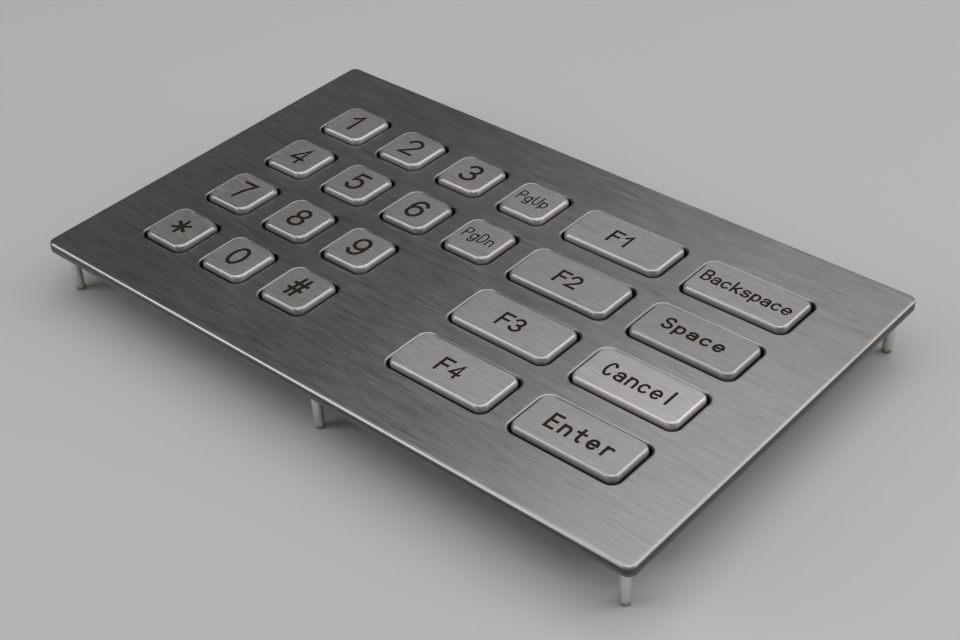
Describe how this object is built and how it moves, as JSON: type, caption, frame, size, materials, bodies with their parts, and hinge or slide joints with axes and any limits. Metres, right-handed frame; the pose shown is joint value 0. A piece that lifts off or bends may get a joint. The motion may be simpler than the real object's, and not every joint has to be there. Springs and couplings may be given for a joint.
{
  "type": "panel-mount metal keypad",
  "caption": "Flat brushed-steel keypad panel on welded studs, with square and wide raised steel keys that press in against a sealed switch stack behind the plate.",
  "frame": {"origin": "on the plane of the stud tips, under the middle of the front plate", "axes": "+X along the plate's long side, in reading direction; +Y towards the top row of keys; +Z out of the front plate"},
  "size_m": [0.174, 0.106, 0.0156],
  "materials": {
    "brushed_plate": "straight-grained stainless steel, satin, with a softly rounded rim",
    "key_steel": "fine-brushed stainless steel with dark engraved legends",
    "stud_steel": "drawn stainless steel, smooth",
    "gasket_rubber": "solid moulded neoprene, matt",
    "guide_plastic": "moulded, fine texture",
    "silicone": "translucent grey silicone",
    "spacer_sheet": "glass-epoxy sheet, bare",
    "dome_steel": "spring steel, bright",
    "board_laminate": "green solder mask over glass epoxy",
    "chip_epoxy": "black moulding compound",
    "tinned_leads": "tinned",
    "crystal_can": "nickel-plated lid",
    "resistor_ceramic": "black glaze between tinned ends",
    "capacitor_ceramic": "brown ceramic between tinned ends",
    "socket_nylon": "natural nylon",
    "insulator_film": "black polyester film",
    "tray_steel": "cold-rolled stainless steel, plain",
    "spacer_brass": "turned brass",
    "screw_steel": "stainless steel, bright"
  },
  "bodies": {
    "housing": {"front_plate": "brushed_plate", "mounting_studs": "stud_steel", "plate_bosses": "stud_steel", "plate_gasket": "gasket_rubber", "key_guide": "guide_plastic", "silicone_mat": "silicone", "dome_spacer": "spacer_sheet", "snap_domes": "dome_steel", "circuit_board": "board_laminate", "controller_chip": "chip_epoxy", "controller_leads": "tinned_leads", "timing_crystal": "crystal_can", "chip_resistors": "resistor_ceramic", "chip_capacitors": "capacitor_ceramic", "steering_diodes": "chip_epoxy", "cable_socket": "socket_nylon", "socket_pins": "tinned_leads", "insulator_sheet": "insulator_film", "rear_tray": "tray_steel", "cover_spacers": "spacer_brass", "cover_washers": "screw_steel", "board_washers": "screw_steel", "cover_screws": "screw_steel", "board_screws": "screw_steel"},
    "key_1": {"key_1": "key_steel"},
    "key_2": {"key_2": "key_steel"},
    "key_3": {"key_3": "key_steel"},
    "key_4": {"key_4": "key_steel"},
    "key_5": {"key_5": "key_steel"},
    "key_6": {"key_6": "key_steel"},
    "key_7": {"key_7": "key_steel"},
    "key_8": {"key_8": "key_steel"},
    "key_9": {"key_9": "key_steel"},
    "key_0": {"key_0": "key_steel"},
    "key_star": {"key_star": "key_steel"},
    "key_hash": {"key_hash": "key_steel"},
    "key_page_up": {"key_page_up": "key_steel"},
    "key_page_down": {"key_page_down": "key_steel"},
    "key_f1": {"key_f1": "key_steel"},
    "key_f2": {"key_f2": "key_steel"},
    "key_f3": {"key_f3": "key_steel"},
    "key_f4": {"key_f4": "key_steel"},
    "key_backspace": {"key_backspace": "key_steel"},
    "key_space": {"key_space": "key_steel"},
    "key_cancel": {"key_cancel": "key_steel"},
    "key_enter": {"key_enter": "key_steel"}
  },
  "joints": [
    {"name": "key_1_press", "type": "slide", "parent": "housing", "child": "key_1", "axis": [0, 0, -1], "range_m": [0, 0.00045], "stiffness_N_per_m": 1500, "springref_m": -0.0008, "deforming": ["silicone_mat", "snap_domes"]},
    {"name": "key_2_press", "type": "slide", "parent": "housing", "child": "key_2", "axis": [0, 0, -1], "range_m": [0, 0.00045], "stiffness_N_per_m": 1500, "springref_m": -0.0008, "deforming": ["silicone_mat", "snap_domes"]},
    {"name": "key_3_press", "type": "slide", "parent": "housing", "child": "key_3", "axis": [0, 0, -1], "range_m": [0, 0.00045], "stiffness_N_per_m": 1500, "springref_m": -0.0008, "deforming": ["silicone_mat", "snap_domes"]},
    {"name": "key_4_press", "type": "slide", "parent": "housing", "child": "key_4", "axis": [0, 0, -1], "range_m": [0, 0.00045], "stiffness_N_per_m": 1500, "springref_m": -0.0008, "deforming": ["silicone_mat", "snap_domes"]},
    {"name": "key_5_press", "type": "slide", "parent": "housing", "child": "key_5", "axis": [0, 0, -1], "range_m": [0, 0.00045], "stiffness_N_per_m": 1500, "springref_m": -0.0008, "deforming": ["silicone_mat", "snap_domes"]},
    {"name": "key_6_press", "type": "slide", "parent": "housing", "child": "key_6", "axis": [0, 0, -1], "range_m": [0, 0.00045], "stiffness_N_per_m": 1500, "springref_m": -0.0008, "deforming": ["silicone_mat", "snap_domes"]},
    {"name": "key_7_press", "type": "slide", "parent": "housing", "child": "key_7", "axis": [0, 0, -1], "range_m": [0, 0.00045], "stiffness_N_per_m": 1500, "springref_m": -0.0008, "deforming": ["silicone_mat", "snap_domes"]},
    {"name": "key_8_press", "type": "slide", "parent": "housing", "child": "key_8", "axis": [0, 0, -1], "range_m": [0, 0.00045], "stiffness_N_per_m": 1500, "springref_m": -0.0008, "deforming": ["silicone_mat", "snap_domes"]},
    {"name": "key_9_press", "type": "slide", "parent": "housing", "child": "key_9", "axis": [0, 0, -1], "range_m": [0, 0.00045], "stiffness_N_per_m": 1500, "springref_m": -0.0008, "deforming": ["silicone_mat", "snap_domes"]},
    {"name": "key_0_press", "type": "slide", "parent": "housing", "child": "key_0", "axis": [0, 0, -1], "range_m": [0, 0.00045], "stiffness_N_per_m": 1500, "springref_m": -0.0008, "deforming": ["silicone_mat", "snap_domes"]},
    {"name": "key_star_press", "type": "slide", "parent": "housing", "child": "key_star", "axis": [0, 0, -1], "range_m": [0, 0.00045], "stiffness_N_per_m": 1500, "springref_m": -0.0008, "deforming": ["silicone_mat", "snap_domes"]},
    {"name": "key_hash_press", "type": "slide", "parent": "housing", "child": "key_hash", "axis": [0, 0, -1], "range_m": [0, 0.00045], "stiffness_N_per_m": 1500, "springref_m": -0.0008, "deforming": ["silicone_mat", "snap_domes"]},
    {"name": "key_page_up_press", "type": "slide", "parent": "housing", "child": "key_page_up", "axis": [0, 0, -1], "range_m": [0, 0.00045], "stiffness_N_per_m": 1500, "springref_m": -0.0008, "deforming": ["silicone_mat", "snap_domes"]},
    {"name": "key_page_down_press", "type": "slide", "parent": "housing", "child": "key_page_down", "axis": [0, 0, -1], "range_m": [0, 0.00045], "stiffness_N_per_m": 1500, "springref_m": -0.0008, "deforming": ["silicone_mat", "snap_domes"]},
    {"name": "key_f1_press", "type": "slide", "parent": "housing", "child": "key_f1", "axis": [0, 0, -1], "range_m": [0, 0.00045], "stiffness_N_per_m": 1500, "springref_m": -0.0008, "deforming": ["silicone_mat", "snap_domes"]},
    {"name": "key_f2_press", "type": "slide", "parent": "housing", "child": "key_f2", "axis": [0, 0, -1], "range_m": [0, 0.00045], "stiffness_N_per_m": 1500, "springref_m": -0.0008, "deforming": ["silicone_mat", "snap_domes"]},
    {"name": "key_f3_press", "type": "slide", "parent": "housing", "child": "key_f3", "axis": [0, 0, -1], "range_m": [0, 0.00045], "stiffness_N_per_m": 1500, "springref_m": -0.0008, "deforming": ["silicone_mat", "snap_domes"]},
    {"name": "key_f4_press", "type": "slide", "parent": "housing", "child": "key_f4", "axis": [0, 0, -1], "range_m": [0, 0.00045], "stiffness_N_per_m": 1500, "springref_m": -0.0008, "deforming": ["silicone_mat", "snap_domes"]},
    {"name": "key_backspace_press", "type": "slide", "parent": "housing", "child": "key_backspace", "axis": [0, 0, -1], "range_m": [0, 0.00045], "stiffness_N_per_m": 1500, "springref_m": -0.0008, "deforming": ["silicone_mat", "snap_domes"]},
    {"name": "key_space_press", "type": "slide", "parent": "housing", "child": "key_space", "axis": [0, 0, -1], "range_m": [0, 0.00045], "stiffness_N_per_m": 1500, "springref_m": -0.0008, "deforming": ["silicone_mat", "snap_domes"]},
    {"name": "key_cancel_press", "type": "slide", "parent": "housing", "child": "key_cancel", "axis": [0, 0, -1], "range_m": [0, 0.00045], "stiffness_N_per_m": 1500, "springref_m": -0.0008, "deforming": ["silicone_mat", "snap_domes"]},
    {"name": "key_enter_press", "type": "slide", "parent": "housing", "child": "key_enter", "axis": [0, 0, -1], "range_m": [0, 0.00045], "stiffness_N_per_m": 1500, "springref_m": -0.0008, "deforming": ["silicone_mat", "snap_domes"]}
  ]
}
